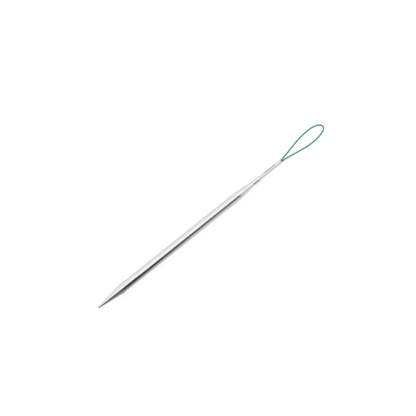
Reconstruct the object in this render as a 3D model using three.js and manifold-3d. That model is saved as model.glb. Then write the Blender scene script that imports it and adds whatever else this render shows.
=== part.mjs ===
// Loop-eye needle: a swaged metal needle with a thin tube in its neck, from which a closed loop of
// coated wire rope leaves as a flexible eye. Millimetres. +X runs from the point to the loop, +Z is up,
// and the needle lies on z = 0 with x = 0 halfway along its metal.

import * as THREE from 'three';
import Module from 'manifold-3d';
import { mergeVertices } from 'three/addons/utils/BufferGeometryUtils.js';

const wasm = await Module();
wasm.setup();

// Needle shaft, from its point to its neck
const shaftDiameter = 3.0;
const shaftWall = 0.5;
const pointRadius = 0.38;
const taperLength = 9.8;
const taperBlendRadius = 12;
const bodyLength = 48.8;
const shoulderLength = 7.8;
const shoulderBlendRadius = 25;
const neckLength = 3.4;
const neckWall = 0.13;
const neckEdgeRadius = 0.1;
const swagedPointLength = 5.0;

// Tube in the neck
const ferruleWall = 0.12;
const ferruleExposed = 9.6;
const ferruleInsertion = 8.0;
const ferruleChamfer = 0.04;

// Coated cable
const jacketDiameter = 0.5;
const coreDiameter = 0.27;
const coreClearance = 0.015;
const legGap = 0.03;
const legInsertion = 12.0;
const straightExit = 0.3;

// Clearances and adhesive
const boreClearance = 0.025;
const adhesiveFilm = 0.04;
const adhesiveClearance = 0.02;
const beadLength = 0.42;
const beadHeight = 0.1;
const beadEdge = 0.01;
const pottingRecess = 1.0;
const pottingFloor = 0.8;
const pottingClearance = 0.1;

// What fits together takes its size from the cable outwards
const legOffset = (jacketDiameter + legGap) / 2;
const ferruleBoreRadius = legOffset + jacketDiameter / 2 + boreClearance;
const ferruleRadius = ferruleBoreRadius + ferruleWall;
const neckBoreRadius = ferruleRadius + adhesiveFilm + 2 * adhesiveClearance;
const neckRadius = neckBoreRadius + neckWall;
const shaftRadius = shaftDiameter / 2;
const shaftBoreRadius = shaftRadius - shaftWall;

// Stations along X
const metalLength = taperLength + bodyLength + shoulderLength + neckLength + ferruleExposed;
const pointX = -metalLength / 2;
const taperEndX = pointX + taperLength;
const bodyEndX = taperEndX + bodyLength;
const shoulderEndX = bodyEndX + shoulderLength;
const neckEndX = shoulderEndX + neckLength;
const mouthX = neckEndX + ferruleExposed;
const ferruleInnerX = neckEndX - ferruleInsertion;

// Round pieces are prisms of this many sides. One side faces down, so the needle rests on a flat.
const roundSides = 32;
const cableSides = 8;
const axisHeight = shaftRadius * Math.cos(Math.PI / roundSides);

// The cable's centreline past the tube's mouth, [along X, sideways along Y]: the left leg's free
// start, the loop that swings, and the right leg's free end. The spaces between the lists are where
// the swinging loop meets the legs that stay with the needle.
const leftLegRoute = [[0.5, legOffset + 0.025], [1.1, legOffset + 0.11], [1.8, legOffset + 0.25]];
const loopRoute = [
  [2.1, 0.58], [2.9, 0.74], [3.7, 0.9], [5.2, 1.22], [6.8, 1.56], [8.3, 1.88], [9.9, 2.18],
  [11.4, 2.41], [13.0, 2.57], [14.5, 2.64], [16.1, 2.62], [17.5, 2.48], [18.6, 2.2], [19.45, 1.75],
  [20.0, 1.15], [20.2, 0.47], [19.95, -0.16], [19.4, -0.65], [18.5, -1.03], [17.4, -1.33],
  [16.2, -1.6], [14.7, -1.79], [13.1, -1.85], [11.5, -1.78], [9.9, -1.62], [8.4, -1.4],
  [6.8, -1.12], [5.3, -0.86], [3.7, -0.57], [2.9, -0.44], [2.1, -0.33],
];
const rightLegRoute = [[1.8, -legOffset - 0.03], [1.1, -legOffset], [0.5, -legOffset]];
const legSteps = 20;
const loopSteps = 56;

const nickel = { color: 0xcfd1d3, roughness: 0.16, metalness: 1 };
const stainless = { color: 0xb9bcbe, roughness: 0.28, metalness: 1 };
const greenNylon = { color: 0x2f8f68, roughness: 0.35, metalness: 0 };
const wireStrand = { color: 0xa9acae, roughness: 0.4, metalness: 1 };
const clearAdhesive = { color: 0xe6e3d6, roughness: 0.3, metalness: 0 };

function part(name, geometry, finish) {
  const mesh = new THREE.Mesh(geometry, new THREE.MeshStandardMaterial(finish));
  mesh.name = name;
  return mesh;
}

// Turns a profile of [along X, radius] points about the needle's axis, which runs along X.
function turned(profile) {
  const points = profile.map(([along, radius]) => new THREE.Vector2(radius, along));
  const halfSide = Math.PI / roundSides;
  const geometry = new THREE.LatheGeometry(points, roundSides, halfSide, 2 * Math.PI);
  geometry.rotateZ(-Math.PI / 2);
  geometry.translate(0, 0, axisHeight);
  return geometry;
}

// Points on an arc about [centre along X, centre radius], at angles from the outward radius towards +X.
function arc(centreX, centreRadius, radius, fromAngle, toAngle, steps) {
  return Array.from({ length: steps + 1 }, (_, i) => {
    const angle = fromAngle + (toAngle - fromAngle) * i / steps;
    return [centreX + radius * Math.sin(angle), centreRadius + radius * Math.cos(angle)];
  });
}

// Slope of the straight line that touches a circle about the origin and passes through [along, across].
function tangentSlope(along, across, radius) {
  const towards = Math.atan2(along, across);
  const spread = Math.acos(radius / Math.hypot(along, across));
  const slopes = [towards - spread, towards + spread];
  return Math.abs(slopes[0]) < Math.abs(slopes[1]) ? slopes[0] : slopes[1];
}

function shaftOutline() {
  const pointSlope = tangentSlope(pointRadius - taperLength, shaftRadius, pointRadius);
  const tangentLength = taperBlendRadius * Math.tan(pointSlope / 2);
  const shoulderSlope = tangentSlope(
    shoulderLength, neckRadius - shaftRadius + shoulderBlendRadius, shoulderBlendRadius);
  return [
    ...arc(pointX + pointRadius, 0, pointRadius, -Math.PI / 2, -pointSlope, 6),
    ...arc(taperEndX + tangentLength, shaftRadius - taperBlendRadius, taperBlendRadius,
      -pointSlope, 0, 3),
    ...arc(bodyEndX, shaftRadius - shoulderBlendRadius, shoulderBlendRadius, 0, shoulderSlope, 3),
    [shoulderEndX, neckRadius],
    ...arc(neckEndX - neckEdgeRadius, neckRadius - neckEdgeRadius, neckEdgeRadius,
      0, Math.PI / 2, 3),
  ];
}

// A tube swaged shut at its point and down to a neck at its rear. Its bore stays open at the neck.
function needleShaft() {
  return turned([
    ...shaftOutline(),
    [neckEndX, neckBoreRadius],
    [shoulderEndX, neckBoreRadius],
    [bodyEndX, shaftBoreRadius],
    [taperEndX, shaftBoreRadius],
    [taperEndX - swagedPointLength, 0],
  ]);
}

function ferruleTube() {
  return turned([
    [ferruleInnerX, ferruleBoreRadius],
    [ferruleInnerX, ferruleRadius],
    [mouthX - ferruleChamfer, ferruleRadius],
    [mouthX, ferruleRadius - ferruleChamfer],
    [mouthX, ferruleBoreRadius],
    [ferruleInnerX, ferruleBoreRadius],
  ]);
}

// A film between the tube and the neck's bore, and the bead that it leaves at the neck's mouth.
function neckAdhesive() {
  const inner = ferruleRadius + adhesiveClearance;
  const film = inner + adhesiveFilm;
  const beadStart = neckEndX + adhesiveClearance;
  return turned([
    [ferruleInnerX + adhesiveClearance, inner],
    [ferruleInnerX + adhesiveClearance, film],
    [beadStart, film],
    [beadStart, film + beadHeight],
    [beadStart + beadLength / 2, inner + (adhesiveFilm + beadHeight) / 2],
    [beadStart + beadLength, inner + beadEdge],
    [beadStart + beadLength, inner],
    [ferruleInnerX + adhesiveClearance, inner],
  ]);
}

function solidOf(geometry) {
  const bare = geometry.clone();
  bare.deleteAttribute('normal');
  bare.deleteAttribute('uv');
  const merged = mergeVertices(bare);
  return new wasm.Manifold(new wasm.Mesh({
    numProp: 3,
    vertProperties: merged.attributes.position.array,
    triVerts: Uint32Array.from(merged.index.array),
  }));
}

function geometryOf(solid) {
  const mesh = solid.getMesh();
  const geometry = new THREE.BufferGeometry();
  geometry.setAttribute('position', new THREE.BufferAttribute(mesh.vertProperties, 3));
  geometry.setIndex(new THREE.BufferAttribute(mesh.triVerts, 1));
  return geometry;
}

// Resin that fills the tube behind and around the two legs of the cable.
function ferrulePotting() {
  const radius = ferruleBoreRadius - adhesiveClearance / 2;
  const backX = mouthX - legInsertion - pottingClearance - pottingFloor;
  const frontX = mouthX - pottingRecess;
  const plug = turned([[backX, 0], [backX, radius], [frontX, radius], [frontX, 0]]);
  const socketRadius = jacketDiameter / 2 + adhesiveClearance;
  const socketBackX = backX + pottingFloor;
  const socketLength = frontX - socketBackX + pottingClearance;
  const sockets = [legOffset, -legOffset].map((sideways) => {
    const socket = new THREE.CylinderGeometry(socketRadius, socketRadius, socketLength, 24);
    socket.rotateZ(-Math.PI / 2);
    socket.translate(socketBackX + socketLength / 2, sideways, axisHeight);
    return solidOf(socket);
  });
  return geometryOf(sockets.reduce((solid, socket) => solid.subtract(socket), solidOf(plug)));
}

// Places [past the mouth, sideways] points at the height of the needle's axis.
function placed(route) {
  return route.map(([past, sideways]) => new THREE.Vector3(mouthX + past, sideways, axisHeight));
}

// The straight stretch of a leg inside the tube, from its cut end to the mouth.
function heldLeg(sideways) {
  return [-legInsertion, -legInsertion / 2, -straightExit, 0].map((past) => [past, sideways]);
}

function ring(radius) {
  return Array.from({ length: cableSides }, (_, i) => {
    const angle = 2 * Math.PI * (i + 0.5) / cableSides;
    return new THREE.Vector2(radius * Math.cos(angle), radius * Math.sin(angle));
  });
}

function along(points, section, steps) {
  const extrudePath = new THREE.CatmullRomCurve3(points);
  return new THREE.ExtrudeGeometry(section, { steps, extrudePath });
}

function jacket(points, steps) {
  const section = new THREE.Shape(ring(jacketDiameter / 2));
  section.holes.push(new THREE.Path(ring(coreDiameter / 2 + coreClearance)));
  return along(points, section, steps);
}

function core(points, steps) {
  return along(points, new THREE.Shape(ring(coreDiameter / 2)), steps);
}

const leftLeg = placed([...heldLeg(legOffset), ...leftLegRoute]);
const loop = placed(loopRoute);
const rightLeg = placed([...rightLegRoute, ...heldLeg(-legOffset).reverse()]);

const needle = new THREE.Group();
needle.add(
  part('needle_shaft', needleShaft(), nickel),
  part('ferrule_tube', ferruleTube(), stainless),
  part('neck_adhesive', neckAdhesive(), clearAdhesive),
  part('ferrule_potting', ferrulePotting(), clearAdhesive),
  part('left_leg_jacket', jacket(leftLeg, legSteps), greenNylon),
  part('left_leg_core', core(leftLeg, legSteps), wireStrand),
  part('right_leg_jacket', jacket(rightLeg, legSteps), greenNylon),
  part('right_leg_core', core(rightLeg, legSteps), wireStrand),
  part('loop_jacket', jacket(loop, loopSteps), greenNylon),
  part('loop_core', core(loop, loopSteps), wireStrand),
);

export default needle;
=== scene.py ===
"""Loop-eye needle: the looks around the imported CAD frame. Metres, +X towards the cable loop, +Z up."""

import math

import bpy
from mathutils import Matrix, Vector


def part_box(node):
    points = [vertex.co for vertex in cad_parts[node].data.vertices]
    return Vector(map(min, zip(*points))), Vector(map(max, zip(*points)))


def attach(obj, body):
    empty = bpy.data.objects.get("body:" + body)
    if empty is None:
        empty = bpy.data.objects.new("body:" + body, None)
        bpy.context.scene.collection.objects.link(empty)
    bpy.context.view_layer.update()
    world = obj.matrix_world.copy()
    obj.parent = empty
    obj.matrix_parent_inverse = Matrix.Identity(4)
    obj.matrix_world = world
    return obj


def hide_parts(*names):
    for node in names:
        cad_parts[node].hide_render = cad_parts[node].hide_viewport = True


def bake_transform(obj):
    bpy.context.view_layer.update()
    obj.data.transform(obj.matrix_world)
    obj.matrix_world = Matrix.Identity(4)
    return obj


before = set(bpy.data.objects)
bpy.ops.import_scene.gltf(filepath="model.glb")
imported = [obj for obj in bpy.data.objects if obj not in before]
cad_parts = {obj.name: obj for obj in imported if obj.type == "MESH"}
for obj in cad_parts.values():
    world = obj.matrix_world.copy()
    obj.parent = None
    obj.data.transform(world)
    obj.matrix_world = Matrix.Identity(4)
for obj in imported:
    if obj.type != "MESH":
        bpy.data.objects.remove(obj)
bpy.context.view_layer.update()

MM = 0.001

# ---------------------------------------------------------------- places taken from the frame


def turned_radius(node, height):
    """The outer radius of a CAD piece that was turned about the needle's axis."""
    return max(math.hypot(v.co.y, v.co.z - height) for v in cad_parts[node].data.vertices)


SHAFT_LOW, SHAFT_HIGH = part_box("needle_shaft")
FERRULE_LOW, FERRULE_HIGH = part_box("ferrule_tube")

AXIS_Z = (SHAFT_LOW.z + SHAFT_HIGH.z) / 2
SHAFT_RADIUS = turned_radius("needle_shaft", AXIS_Z)
FERRULE_RADIUS = turned_radius("ferrule_tube", AXIS_Z)
POINT_X = SHAFT_LOW.x
NECK_END_X = SHAFT_HIGH.x
FERRULE_END_X = FERRULE_LOW.x
MOUTH_X = FERRULE_HIGH.x
BEAD_END_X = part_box("neck_adhesive")[1].x
LEG_END_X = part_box("left_leg_jacket")[0].x

# ---------------------------------------------------------------- sizes the frame doesn't give

SHAFT_WALL = 0.5 * MM
POINT_RADIUS = 0.38 * MM
TAPER_LENGTH = 9.8 * MM
TAPER_BLEND_RADIUS = 12 * MM
SHOULDER_LENGTH = 7.8 * MM
SHOULDER_BLEND_RADIUS = 25 * MM
SHOULDER_FOOT_RADIUS = 2 * MM
NECK_LENGTH = 3.4 * MM
NECK_WALL = 0.13 * MM
NECK_EDGE_RADIUS = 0.1 * MM
SWAGED_POINT_LENGTH = 5 * MM
FERRULE_WALL = 0.12 * MM
FERRULE_EDGE_RADIUS = 0.04 * MM
ADHESIVE_GAP = 0.02 * MM
ADHESIVE_FILM = 0.04 * MM
BEAD_HEIGHT = 0.1 * MM
BEAD_CURVE = 1.7
BEAD_STEPS = 12

CABLE_DIAMETER = 0.5 * MM
CORE_DIAMETER = 0.27 * MM
CORE_CLEARANCE = 0.015 * MM
LEG_GAP = 0.03 * MM
LEG_OFFSET = (CABLE_DIAMETER + LEG_GAP) / 2
WIRE_DIAMETER = 0.09 * MM
OUTER_WIRE_DIAMETER = 0.97 * WIRE_DIAMETER
OUTER_WIRE_COUNT = 6
WIRE_LAY_LENGTH = 2.2 * MM

NECK_RADIUS = FERRULE_RADIUS + 2 * ADHESIVE_GAP + ADHESIVE_FILM + NECK_WALL
NECK_BORE_RADIUS = NECK_RADIUS - NECK_WALL
TAPER_END_X = POINT_X + TAPER_LENGTH
SHOULDER_END_X = NECK_END_X - NECK_LENGTH
BODY_END_X = SHOULDER_END_X - SHOULDER_LENGTH

SHARP_EDGE = math.radians(40)
ON_AXIS = 1e-9
TURNED_SIDES = 128
CABLE_SIDES = 20
WIRE_SIDES = 8
CABLE_STEP = 0.16 * MM
SPLINE_STEPS = 24
RELAXING_ROUNDS = 12

# The free cable's centreline past the mouth, [along X, sideways along Y] in millimetres, as in the CAD
# model: out along the left leg, round the loop, and back along the right leg. The points nearest the
# mouth are set out from the legs' own places.
LEG_MM = LEG_OFFSET / MM
FREE_ROUTE_MM = [
    (0.5, LEG_MM + 0.025), (1.1, LEG_MM + 0.11), (1.8, LEG_MM + 0.25),
    (2.1, 0.58), (2.9, 0.74), (3.7, 0.9), (5.2, 1.22), (6.8, 1.56), (8.3, 1.88), (9.9, 2.18),
    (11.4, 2.41), (13.0, 2.57), (14.5, 2.64), (16.1, 2.62), (17.5, 2.48), (18.6, 2.2),
    (19.45, 1.75), (20.0, 1.15), (20.2, 0.47), (19.95, -0.16), (19.4, -0.65), (18.5, -1.03),
    (17.4, -1.33), (16.2, -1.6), (14.7, -1.79), (13.1, -1.85), (11.5, -1.78), (9.9, -1.62),
    (8.4, -1.4), (6.8, -1.12), (5.3, -0.86), (3.7, -0.57), (2.9, -0.44), (2.1, -0.33),
    (1.8, -LEG_MM - 0.03), (1.1, -LEG_MM), (0.5, -LEG_MM),
]

# ---------------------------------------------------------------- camera

# The photo's view. The elevation is a guess, and the rest was fitted to the photo with it.
CAMERA_AZIMUTH = math.radians(-42.63)
CAMERA_ELEVATION = math.radians(60)
CAMERA_DISTANCE = 0.465
CAMERA_TARGET = Vector((9.93 * MM, 3.23 * MM, AXIS_Z))
FIELD_OF_VIEW = math.radians(16.558)


def make_camera():
    """The photo's view."""
    data = bpy.data.cameras.new("camera")
    data.angle = FIELD_OF_VIEW
    data.clip_start = 0.01
    data.clip_end = 20
    camera = bpy.data.objects.new("camera", data)
    bpy.context.scene.collection.objects.link(camera)
    back = Vector((
        math.sin(CAMERA_AZIMUTH) * math.cos(CAMERA_ELEVATION),
        -math.cos(CAMERA_AZIMUTH) * math.cos(CAMERA_ELEVATION),
        math.sin(CAMERA_ELEVATION),
    ))
    camera.location = CAMERA_TARGET + back * CAMERA_DISTANCE
    camera.rotation_euler = (-back).to_track_quat("-Z", "Y").to_euler()
    bpy.context.scene.camera = camera


# ---------------------------------------------------------------- meshes


def new_piece(name, vertices, faces, material):
    """A smooth-shaded object, with edges sharper than SHARP_EDGE kept crisp."""
    mesh = bpy.data.meshes.new(name)
    mesh.from_pydata(vertices, [], faces)
    mesh.validate()
    mesh.shade_smooth()
    mesh.set_sharp_from_angle(angle=SHARP_EDGE)
    mesh.materials.append(material)
    piece = bpy.data.objects.new(name, mesh)
    bpy.context.scene.collection.objects.link(piece)
    return piece


def turned(name, profile, material, closed=False):
    """Turns (x, radius) points about the needle's axis. An open profile starts and ends on the axis."""
    vertices, rings = [], []
    for x, radius in profile:
        count = TURNED_SIDES if radius > ON_AXIS else 1
        start = len(vertices)
        for i in range(count):
            angle = 2 * math.pi * i / TURNED_SIDES
            vertices.append((x, -radius * math.sin(angle), AXIS_Z + radius * math.cos(angle)))
        rings.append([start + i % count for i in range(TURNED_SIDES)])
    pairs = list(zip(rings, rings[1:]))
    if closed:
        pairs.append((rings[-1], rings[0]))
    faces = []
    for near, far in pairs:
        for i in range(TURNED_SIDES):
            j = (i + 1) % TURNED_SIDES
            corners = [near[i], far[i], far[j], near[j]]
            faces.append(list(dict.fromkeys(corners)))
    return new_piece(name, vertices, faces, material)


def arc(centre_x, centre_radius, radius, start, end, steps):
    """(x, radius) points on an arc, at angles from the outward radius towards +X."""
    angles = [start + (end - start) * i / steps for i in range(steps + 1)]
    return [
        (centre_x + radius * math.sin(a), centre_radius + radius * math.cos(a)) for a in angles
    ]


def line(start, end, steps):
    """Points after start, up to and with end, on a straight line."""
    return [
        (start[0] + (end[0] - start[0]) * i / steps, start[1] + (end[1] - start[1]) * i / steps)
        for i in range(1, steps + 1)
    ]


def tangent_slope(along, across, radius):
    """Slope of the line that touches a circle about the origin and passes through (along, across)."""
    towards = math.atan2(along, across)
    spread = math.acos(radius / math.hypot(along, across))
    return min(towards - spread, towards + spread, key=abs)


def shaft_profile():
    """Outside from the rounded point to the neck's edge, and back along the bore to its end."""
    point_slope = tangent_slope(POINT_RADIUS - TAPER_LENGTH, SHAFT_RADIUS, POINT_RADIUS)
    tangent_length = TAPER_BLEND_RADIUS * math.tan(point_slope / 2)
    shoulder_slope = tangent_slope(
        SHOULDER_LENGTH, NECK_RADIUS - SHAFT_RADIUS + SHOULDER_BLEND_RADIUS, SHOULDER_BLEND_RADIUS)
    foot_length = SHOULDER_FOOT_RADIUS * math.tan(shoulder_slope / 2)
    point = arc(POINT_X + POINT_RADIUS, 0, POINT_RADIUS, -math.pi / 2, -point_slope, steps=20)
    point[0] = (POINT_X, 0)
    blend = arc(TAPER_END_X + tangent_length, SHAFT_RADIUS - TAPER_BLEND_RADIUS,
                TAPER_BLEND_RADIUS, -point_slope, 0, steps=10)
    shoulder = arc(BODY_END_X, SHAFT_RADIUS - SHOULDER_BLEND_RADIUS,
                   SHOULDER_BLEND_RADIUS, 0, shoulder_slope, steps=14)
    foot = arc(SHOULDER_END_X + foot_length, NECK_RADIUS + SHOULDER_FOOT_RADIUS,
               SHOULDER_FOOT_RADIUS, math.pi + shoulder_slope, math.pi, steps=6)
    edge = arc(NECK_END_X - NECK_EDGE_RADIUS, NECK_RADIUS - NECK_EDGE_RADIUS,
               NECK_EDGE_RADIUS, 0, math.pi / 2, steps=8)
    bore = [
        (NECK_END_X, NECK_BORE_RADIUS),
        (SHOULDER_END_X, NECK_BORE_RADIUS),
        (BODY_END_X, SHAFT_RADIUS - SHAFT_WALL),
        (TAPER_END_X, SHAFT_RADIUS - SHAFT_WALL),
        (TAPER_END_X - SWAGED_POINT_LENGTH, 0),
    ]
    return [
        *point,
        *line(point[-1], blend[0], steps=24),
        *blend[1:],
        *line(blend[-1], shoulder[0], steps=48),
        *shoulder[1:],
        *line(shoulder[-1], foot[0], steps=16),
        *foot[1:],
        *line(foot[-1], edge[0], steps=6),
        *edge[1:],
        *bore,
    ]


def ferrule_profile():
    """A plain tube, with both edges of its mouth rounded."""
    bore = FERRULE_RADIUS - FERRULE_WALL
    edge_x = MOUTH_X - FERRULE_EDGE_RADIUS
    outer_edge = arc(edge_x, FERRULE_RADIUS - FERRULE_EDGE_RADIUS,
                     FERRULE_EDGE_RADIUS, 0, math.pi / 2, steps=6)
    inner_edge = arc(edge_x, bore + FERRULE_EDGE_RADIUS,
                     FERRULE_EDGE_RADIUS, math.pi / 2, math.pi, steps=6)
    start = (FERRULE_END_X, FERRULE_RADIUS)
    return [
        (FERRULE_END_X, bore),
        start,
        *line(start, outer_edge[0], steps=24),
        *outer_edge[1:],
        *inner_edge,
    ]


def bead_profile():
    """A thin film between the tube and the neck, and the meniscus that it leaves outside."""
    inner = FERRULE_RADIUS + ADHESIVE_GAP
    film = inner + ADHESIVE_FILM
    back_x = FERRULE_END_X + ADHESIVE_GAP
    foot_x = NECK_END_X + ADHESIVE_GAP
    length = BEAD_END_X - foot_x
    height = ADHESIVE_FILM + BEAD_HEIGHT
    shares = [i / BEAD_STEPS for i in range(BEAD_STEPS)]
    meniscus = [
        (foot_x + length * share, inner + height * (1 - share) ** BEAD_CURVE) for share in shares
    ]
    return [(back_x, inner), (back_x, film), (foot_x, film), *meniscus, (BEAD_END_X, inner)]


def smooth_route(points, step):
    """Evenly spaced points on a centripetal Catmull-Rom curve through the given ones."""
    ends = [points[0] * 2 - points[1], *points, points[-1] * 2 - points[-2]]
    dense = [points[0]]
    for p0, p1, p2, p3 in zip(ends, ends[1:], ends[2:], ends[3:]):
        t1 = math.sqrt((p1 - p0).length)
        t2 = t1 + math.sqrt((p2 - p1).length)
        t3 = t2 + math.sqrt((p3 - p2).length)
        for i in range(1, SPLINE_STEPS + 1):
            t = t1 + (t2 - t1) * i / SPLINE_STEPS
            a1 = p0.lerp(p1, t / t1)
            a2 = p1.lerp(p2, (t - t1) / (t2 - t1))
            a3 = p2.lerp(p3, (t - t2) / (t3 - t2))
            b1 = a1.lerp(a2, t / t2)
            b2 = a2.lerp(a3, (t - t1) / (t3 - t1))
            dense.append(b1.lerp(b2, (t - t1) / (t2 - t1)))
    return spaced(dense, step)


def spaced(dense, step):
    """Points about a step apart along a line of closer ones."""
    lengths = [0.0]
    for a, b in zip(dense, dense[1:]):
        lengths.append(lengths[-1] + (b - a).length)
    count = round(lengths[-1] / step)
    found, k = [], 0
    for i in range(count + 1):
        want = lengths[-1] * i / count
        while k < len(dense) - 2 and lengths[k + 1] < want:
            k += 1
        share = (want - lengths[k]) / (lengths[k + 1] - lengths[k])
        found.append(dense[k].lerp(dense[k + 1], min(1.0, share)))
    return found


def relaxed(points):
    """Takes the last unevenness out of a route's curvature, with its straight ends held."""
    held = round((MOUTH_X - LEG_END_X) / CABLE_STEP)
    for _ in range(RELAXING_ROUNDS):
        moved = list(points)
        for i in range(held, len(points) - held):
            moved[i] = points[i].lerp((points[i - 1] + points[i + 1]) / 2, 0.5)
        points = moved
    return points


def cable_route():
    """From the left leg's end inside the tube, round the loop, to the right leg's end."""
    inside = [LEG_END_X, (LEG_END_X + MOUTH_X) / 2, MOUTH_X - 2 * CABLE_DIAMETER, MOUTH_X]
    left = [Vector((x, LEG_OFFSET, AXIS_Z)) for x in inside]
    free = [Vector((MOUTH_X + x * MM, y * MM, AXIS_Z)) for x, y in FREE_ROUTE_MM]
    right = [Vector((x, -LEG_OFFSET, AXIS_Z)) for x in reversed(inside)]
    return relaxed(smooth_route([*left, *free, *right], CABLE_STEP))


def frames_along(points):
    """(point, sideways, up) at each point of a route that lies level."""
    up = Vector((0, 0, 1))
    found = []
    for i, point in enumerate(points):
        ahead = points[min(i + 1, len(points) - 1)] - points[max(i - 1, 0)]
        found.append((point, up.cross(ahead).normalized(), up))
    return found


def ring(place, radius, sides, across=0.0, above=0.0):
    """Points on a circle about the route, or about a place beside it."""
    point, side, up = place
    angles = [2 * math.pi * k / sides for k in range(sides)]
    return [
        point + side * (across + radius * math.cos(a)) + up * (above + radius * math.sin(a))
        for a in angles
    ]


def wall(rows, sides):
    """Faces from each ring to the next, facing outwards."""
    faces = []
    for i in range(rows - 1):
        for k in range(sides):
            n = (k + 1) % sides
            faces.append([i * sides + k, i * sides + n, (i + 1) * sides + n, (i + 1) * sides + k])
    return faces


def wire_mesh(frames, radius, offsets):
    """Vertices and faces of one solid wire. Each offset sets its centre beside the route."""
    vertices = []
    for place, (across, above) in zip(frames, offsets):
        vertices += ring(place, radius, WIRE_SIDES, across, above)
    last = (len(frames) - 1) * WIRE_SIDES
    caps = [list(reversed(range(WIRE_SIDES))), [last + k for k in range(WIRE_SIDES)]]
    return vertices, wall(len(frames), WIRE_SIDES) + caps


def helix_offsets(start, count):
    """Offsets that turn about the route with the strand's lay, from a first angle."""
    angles = [start + 2 * math.pi * i * CABLE_STEP / WIRE_LAY_LENGTH for i in range(count)]
    return [(WIRE_DIAMETER * math.cos(a), WIRE_DIAMETER * math.sin(a)) for a in angles]


def strand_mesh(frames):
    """A king wire with the others laid round it in a helix."""
    count = len(frames)
    vertices, faces = wire_mesh(frames, WIRE_DIAMETER / 2, [(0.0, 0.0)] * count)
    for wire in range(OUTER_WIRE_COUNT):
        offsets = helix_offsets(2 * math.pi * wire / OUTER_WIRE_COUNT, count)
        more, more_faces = wire_mesh(frames, OUTER_WIRE_DIAMETER / 2, offsets)
        faces += [[v + len(vertices) for v in face] for face in more_faces]
        vertices += more
    return vertices, faces


def jacket_mesh(frames):
    """The cable's coating: a tube with a bore for the strand, and square-cut ends."""
    bore = CORE_DIAMETER / 2 + CORE_CLEARANCE
    vertices = []
    for radius in (CABLE_DIAMETER / 2, bore):
        for place in frames:
            vertices += ring(place, radius, CABLE_SIDES)
    inside = len(frames) * CABLE_SIDES
    outer_faces = wall(len(frames), CABLE_SIDES)
    inner_faces = [[v + inside for v in reversed(quad)] for quad in outer_faces]
    rims = []
    for first, flip in ((0, True), (inside - CABLE_SIDES, False)):
        for k in range(CABLE_SIDES):
            a, b = first + k, first + (k + 1) % CABLE_SIDES
            rim = [a, b, b + inside, a + inside]
            rims.append(rim[::-1] if flip else rim)
    return vertices, outer_faces + inner_faces + rims


# ---------------------------------------------------------------- materials


class Nodes:
    """Small helper to write a node material as a few lines. Its place is in the object's own metres."""

    def __init__(self, name):
        self.material = bpy.data.materials.new(name)
        self.material.use_nodes = True
        self.tree = self.material.node_tree
        self.shader = self.tree.nodes["Principled BSDF"]
        self.place = self.add("ShaderNodeTexCoord").outputs["Object"]

    def add(self, kind, inputs=None, **settings):
        node = self.tree.nodes.new(kind)
        for key, value in settings.items():
            setattr(node, key, value)
        for key, value in (inputs or {}).items():
            if isinstance(value, bpy.types.NodeSocket):
                self.tree.links.new(value, node.inputs[key])
            else:
                node.inputs[key].default_value = value
        return node

    def set(self, **inputs):
        """The shader's own inputs, with _ for the spaces in their names."""
        for key, value in inputs.items():
            socket = self.shader.inputs[key.replace("_", " ")]
            if isinstance(value, bpy.types.NodeSocket):
                self.tree.links.new(value, socket)
            else:
                socket.default_value = value

    def along(self, axis):
        """How far each point lies along X, Y or Z, in metres."""
        return self.add("ShaderNodeSeparateXYZ", {"Vector": self.place}).outputs[axis]

    def maths(self, operation, first, second):
        return self.add("ShaderNodeMath", {0: first, 1: second}, operation=operation).outputs[0]

    def noise(self, stretch, detail=2.0, roughness=0.5):
        """Noise whose cells are stretch metres long along X, Y and Z."""
        scaled = self.add(
            "ShaderNodeMapping",
            {"Vector": self.place, "Scale": tuple(1 / s for s in stretch)})
        return self.add(
            "ShaderNodeTexNoise",
            {"Vector": scaled.outputs["Vector"], "Scale": 1.0, "Detail": detail,
             "Roughness": roughness}).outputs["Fac"]

    def ranged(self, value, low, high, from_low=0.3, from_high=0.7):
        """From low to high, as the value goes over its own range: by default, where most noise lies."""
        return self.add(
            "ShaderNodeMapRange",
            {"Value": value, "From Min": from_low, "From Max": from_high,
             "To Min": low, "To Max": high}).outputs["Result"]

    def mixed(self, share, first, second):
        """Between two colours, by a share from 0 to 1."""
        inputs = {"Factor": share, "A": (*first, 1), "B": (*second, 1)}
        return self.add("ShaderNodeMix", inputs, data_type="RGBA").outputs["Result"]

    def bump(self, height, distance, under=None):
        """A height map over the plain surface, or over another bump."""
        inputs = {"Height": height, "Distance": distance}
        if under:
            inputs["Normal"] = under
        return self.add("ShaderNodeBump", inputs).outputs["Normal"]


def polished_nickel():
    """Bright plate: long polishing hairlines, a slow waviness of the drawn tube, faint dull patches."""
    n = Nodes("polished_nickel")
    hairlines = n.noise((6 * MM, 0.05 * MM, 0.05 * MM), detail=4.0, roughness=0.7)
    wave = n.noise((9 * MM, 4 * MM, 4 * MM), detail=1.0)
    patches = n.noise((3 * MM, 1.2 * MM, 1.2 * MM), detail=3.0)
    wavy = n.bump(wave, 0.02 * MM)
    n.set(
        Base_Color=n.mixed(n.ranged(patches, 0, 1), (0.58, 0.585, 0.595), (0.62, 0.622, 0.625)),
        Metallic=1.0,
        Roughness=n.ranged(hairlines, 0.06, 0.15),
        Normal=n.bump(hairlines, 0.0004 * MM, under=wavy),
    )
    return n.material


def drawn_stainless():
    """The thin tube: satin from drawing, with fine lengthwise die lines."""
    n = Nodes("drawn_stainless")
    lines = n.noise((5 * MM, 0.04 * MM, 0.04 * MM), detail=4.0, roughness=0.7)
    patches = n.noise((2 * MM, 0.8 * MM, 0.8 * MM), detail=2.0)
    n.set(
        Base_Color=n.mixed(n.ranged(patches, 0, 1), (0.57, 0.575, 0.58), (0.61, 0.612, 0.615)),
        Metallic=1.0,
        Roughness=n.ranged(lines, 0.05, 0.12),
        Normal=n.bump(lines, 0.0008 * MM),
    )
    return n.material


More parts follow.
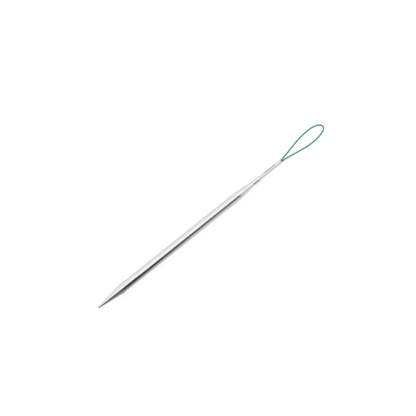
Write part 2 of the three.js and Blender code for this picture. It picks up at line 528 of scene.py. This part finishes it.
def green_jacket():
    """Extruded nylon coating: soft gloss, faint lengthwise shade changes and a fine grain."""
    n = Nodes("green_jacket")
    shade = n.noise((1.6 * MM, 0.5 * MM, 0.5 * MM), detail=3.0)
    grain = n.noise((0.06 * MM, 0.06 * MM, 0.06 * MM), detail=3.0)
    n.set(
        Base_Color=n.mixed(n.ranged(shade, 0, 1), (0.001, 0.21, 0.1), (0.003, 0.28, 0.145)),
        Roughness=n.ranged(grain, 0.26, 0.4),
        Normal=n.bump(grain, 0.001 * MM),
        Specular_IOR_Level=0.08,
        IOR=1.53,
    )
    return n.material


def wire_strand():
    """Bare drawn wires."""
    n = Nodes("wire_strand")
    drawn = n.noise((0.4 * MM, 0.02 * MM, 0.02 * MM), detail=3.0)
    n.set(
        Base_Color=n.mixed(n.ranged(drawn, 0, 1), (0.45, 0.45, 0.46), (0.55, 0.55, 0.56)),
        Metallic=1.0,
        Roughness=n.ranged(drawn, 0.25, 0.4),
    )
    return n.material


def clear_adhesive():
    """Cured resin, clear enough to take on the metal's tone, with small ripples where it set."""
    n = Nodes("clear_adhesive")
    ripples = n.noise((0.25 * MM, 0.25 * MM, 0.25 * MM), detail=2.0)
    n.set(
        Base_Color=n.mixed(n.ranged(ripples, 0, 1), (0.7, 0.7, 0.695), (0.78, 0.78, 0.78)),
        Roughness=n.ranged(ripples, 0.12, 0.25),
        Normal=n.bump(ripples, 0.004 * MM),
        IOR=1.5,
        Transmission_Weight=0.35,
    )
    return n.material


# ---------------------------------------------------------------- studio

FLOOR_Z = AXIS_Z - SHAFT_RADIUS
FLOOR_HALF = 3.0
FLOOR_SHADE = 0.1
FLOOR_GLOW = 0.91
WORLD_STRENGTH = 1.0

LAMP_PLACE = Vector((-0.1, 0.35, 0.7))
LAMP_LENGTH = 0.8
LAMP_WIDTH = 0.5
LAMP_WATTS = 1.2

# Cards that only reflections see. Their angles run about the needle's axis, in degrees, from straight up
# towards -Y, the camera's side. Their distances are from that axis.
LEVEL = 90
FLAG_ANGLE = 33
FLAG_EDGE_ANGLE = 24.5
OVERHEAD_ANGLE = -18
BACK_FLAG_ANGLE = -40
SMALL_CARD_ANGLES = (-66, -28)

CARD_DISTANCE = 70 * MM
SMALL_CARD_DISTANCE = 20 * MM
BACK_FLAG_DISTANCE = 0.3
OVERHEAD_DISTANCE = 0.6
BRIGHT_SIDE_DISTANCE = 0.7
CARD_BENDS = 10

CARD_START_X = -80 * MM
FLAG_END_X = 58.15 * MM
PALE_END_X = 90 * MM
STRIP_JOIN_X = -29.5 * MM
STRIP_Z = FLOOR_Z + 0.02 * MM

DARK = 0.06
CARD_COLOUR = (0.98, 0.985, 1.0, 1)


def floor_material():
    """A white light table: it glows so evenly that hardly a trace of a contact shadow is left."""
    n = Nodes("white_floor")
    grain = n.noise((4 * MM, 4 * MM, 4 * MM), detail=4.0)
    low, high = FLOOR_SHADE * 0.98, FLOOR_SHADE * 1.02
    n.set(
        Base_Color=n.mixed(n.ranged(grain, 0, 1), (low, low, low), (high, high, high)),
        Roughness=0.9,
        Specular_IOR_Level=0.0,
        Emission_Color=(1, 1, 1, 1),
        Emission_Strength=FLOOR_GLOW,
    )
    return n.material


def glowing(n, strength):
    """Makes a card's material of glow alone, as strong as a number or as a node's output."""
    n.set(
        Base_Color=(0, 0, 0, 1),
        Roughness=1.0,
        Specular_IOR_Level=0.0,
        Emission_Color=CARD_COLOUR,
        Emission_Strength=strength,
    )
    return n.material


def flag_material():
    """A dark card, a little paler towards both ends, and much paler low down near the loop."""
    n = Nodes("dark_flag")
    x = n.along("X")
    core = n.ranged(x, 0.055, 0.2, 0, 40 * MM)
    near_point = n.ranged(x, 0.1, 0.0, -30 * MM, -6 * MM)
    rise = n.ranged(x, 0.05, 0.55, 0, 40 * MM)
    low_down = n.ranged(n.along("Z"), 1.0, 0.0, 0, 37 * MM)
    paler = n.maths("MULTIPLY", rise, low_down)
    return glowing(n, n.maths("ADD", n.maths("ADD", core, paler), near_point))


def reflected_shadow_material():
    """Painted shadow of the needle on the table, seen only in reflections: half as bright as the floor
    near the point, and nearly its equal towards the loop.
    """
    n = Nodes("reflected_shadow_strip")
    return glowing(n, n.ranged(n.along("X"), 0.45, 0.92, -30 * MM, 8 * MM))


def overhead_material():
    """Brightest straight above, and dimmer towards the dark flag."""
    n = Nodes("overhead_strip")
    return glowing(n, n.ranged(n.along("Y"), 1.15, 1.65, -0.35, -0.06))


def fading_material(name, pale_x, dark_x):
    """Dark, but for a pale end that leaves a soft edge in a reflection."""
    n = Nodes(name)
    return glowing(n, n.ranged(n.along("X"), 1.0, DARK, pale_x, dark_x))


def seen_in_reflections(piece):
    """Takes a card out of everything but reflections."""
    for kind in ("camera", "diffuse", "transmission", "volume_scatter", "shadow"):
        setattr(piece, f"visible_{kind}", False)


def card(name, angles, x_range, material, distance=CARD_DISTANCE):
    """A curved card about the needle's axis."""
    vertices, faces = [], []
    for i in range(CARD_BENDS + 1):
        angle = math.radians(angles[0] + (angles[1] - angles[0]) * i / CARD_BENDS)
        y, z = -distance * math.sin(angle), AXIS_Z + distance * math.cos(angle)
        vertices += [(x_range[0], y, z), (x_range[1], y, z)]
    for i in range(CARD_BENDS):
        faces.append([2 * i, 2 * i + 1, 2 * i + 3, 2 * i + 2])
    seen_in_reflections(new_piece(name, vertices, faces, material))


def glow_card(name, angles, x_range, strength, distance=CARD_DISTANCE):
    """A curved card of one even glow."""
    card(name, angles, x_range, glowing(Nodes(name), strength), distance)


def flat_card(name, x_range, y_range, z, material):
    """A level rectangle."""
    corners = [(x_range[0], y_range[0], z), (x_range[1], y_range[0], z),
               (x_range[1], y_range[1], z), (x_range[0], y_range[1], z)]
    return new_piece(name, corners, [[0, 1, 2, 3]], material)


def make_front_cards():
    """On the camera's side: a long dark flag with its edge, and what is pale past its end."""
    low = (FLAG_ANGLE, LEVEL)
    card("dark_flag", low, (CARD_START_X, FLAG_END_X), flag_material())
    glow_card("flag_edge", (FLAG_EDGE_ANGLE, FLAG_ANGLE), (CARD_START_X, -4 * MM), DARK)
    glow_card("pale_end", low, (FLAG_END_X, PALE_END_X), 0.92)


def make_upper_cards():
    """Above and on the far side: broad bright ones, and a small dark one for the thin tube's line."""
    glow_card("small_card", SMALL_CARD_ANGLES, (40.3 * MM, 45.4 * MM), 0.09, SMALL_CARD_DISTANCE)
    card("overhead_strip", (OVERHEAD_ANGLE, FLAG_ANGLE), (-0.3, 0.5), overhead_material(),
         OVERHEAD_DISTANCE)
    glow_card("bright_side", (-LEVEL, OVERHEAD_ANGLE), (-0.5, 0.9), 1.23, BRIGHT_SIDE_DISTANCE)


def make_reflected_shadows():
    """Painted shadow: grey strips lying on the table on the camera's side of the needle, seen only in
    reflections, where the needle's own shadow falls.
    """
    for name, x_range, near_y, material in (
        # Both strips are painted shadow: the long one beside the body, and the darker one beside the
        # point.
        ("reflected_shadow_strip", (STRIP_JOIN_X, 20 * MM), -3.3 * MM, reflected_shadow_material()),
        ("reflected_point_shadow", (-45 * MM, STRIP_JOIN_X), -1.6 * MM, glowing(Nodes("reflected_point_shadow"), 0.5)),
    ):
        seen_in_reflections(flat_card(name, x_range, (-CARD_DISTANCE, near_y), STRIP_Z, material))


def make_side_cards():
    """Dark cards for the views from the ends, the sides and behind, beside the camera's reflections."""
    front, back = (FLAG_ANGLE, LEVEL), (-LEVEL, BACK_FLAG_ANGLE)
    glow_card("low_left_flag", front, (-0.5, CARD_START_X), DARK)
    for name, angles, near_x, dark_x, far_x, distance in (
        ("low_right_flag", front, PALE_END_X, 0.14, 0.5, CARD_DISTANCE),
        ("back_left_flag", back, -0.09, -0.15, -2.0, BACK_FLAG_DISTANCE),
        ("back_right_flag", back, 0.2, 0.28, 2.0, BACK_FLAG_DISTANCE),
    ):
        card(name, angles, (near_x, far_x), fading_material(name, near_x, dark_x), distance)


def make_lamp():
    """A soft light from behind and above, which the metal doesn't mirror."""
    light = bpy.data.lights.new("softbox", "AREA")
    light.shape = "RECTANGLE"
    light.size = LAMP_LENGTH
    light.size_y = LAMP_WIDTH
    light.energy = LAMP_WATTS
    lamp = bpy.data.objects.new("softbox", light)
    bpy.context.scene.collection.objects.link(lamp)
    lamp.location = LAMP_PLACE
    lamp.rotation_euler = (-LAMP_PLACE).to_track_quat("-Z", "Y").to_euler()
    lamp.visible_glossy = False


def make_studio():
    """The floor, the cards, the lamp and a plain white world."""
    floor = flat_card("floor", (-FLOOR_HALF, FLOOR_HALF), (-FLOOR_HALF, FLOOR_HALF), FLOOR_Z,
                      floor_material())
    make_front_cards()
    make_upper_cards()
    make_reflected_shadows()
    make_side_cards()
    make_lamp()
    world = bpy.data.worlds.new("studio")
    world.use_nodes = True
    background = world.node_tree.nodes["Background"]
    background.inputs["Color"].default_value = (1, 1, 1, 1)
    background.inputs["Strength"].default_value = WORLD_STRENGTH
    scene = bpy.context.scene
    scene.world = world
    scene.view_settings.view_transform = "Standard"
    scene.view_settings.look = "None"


# ---------------------------------------------------------------- the object


def make_metal():
    """The shaft and the thin tube, in place of their faceted CAD pieces."""
    shaft = turned("shaft", shaft_profile(), polished_nickel())
    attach(shaft, "needle")
    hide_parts("needle_shaft")

    ferrule = turned("ferrule", ferrule_profile(), drawn_stainless(), closed=True)
    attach(ferrule, "needle")
    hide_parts("ferrule_tube")


def make_adhesive():
    """The neck's bead, and a new material for the resin in the tube."""
    resin = clear_adhesive()
    bead = turned("neck_bead", bead_profile(), resin, closed=True)
    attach(bead, "needle")
    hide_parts("neck_adhesive")
    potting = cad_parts["ferrule_potting"]
    potting.data.materials.clear()
    potting.data.materials.append(resin)


def make_cable():
    """One jacket and one strand for both legs and the loop."""
    route = cable_route()
    frames = frames_along(route)

    strand = new_piece("cable_strand", *strand_mesh(frames), wire_strand())
    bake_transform(strand)
    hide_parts("loop_core", "left_leg_core", "right_leg_core")

    jacket = new_piece("cable_jacket", *jacket_mesh(frames), green_jacket())
    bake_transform(jacket)
    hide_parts("loop_jacket", "left_leg_jacket", "right_leg_jacket")


make_camera()
make_cable()
make_metal()
make_adhesive()
make_studio()
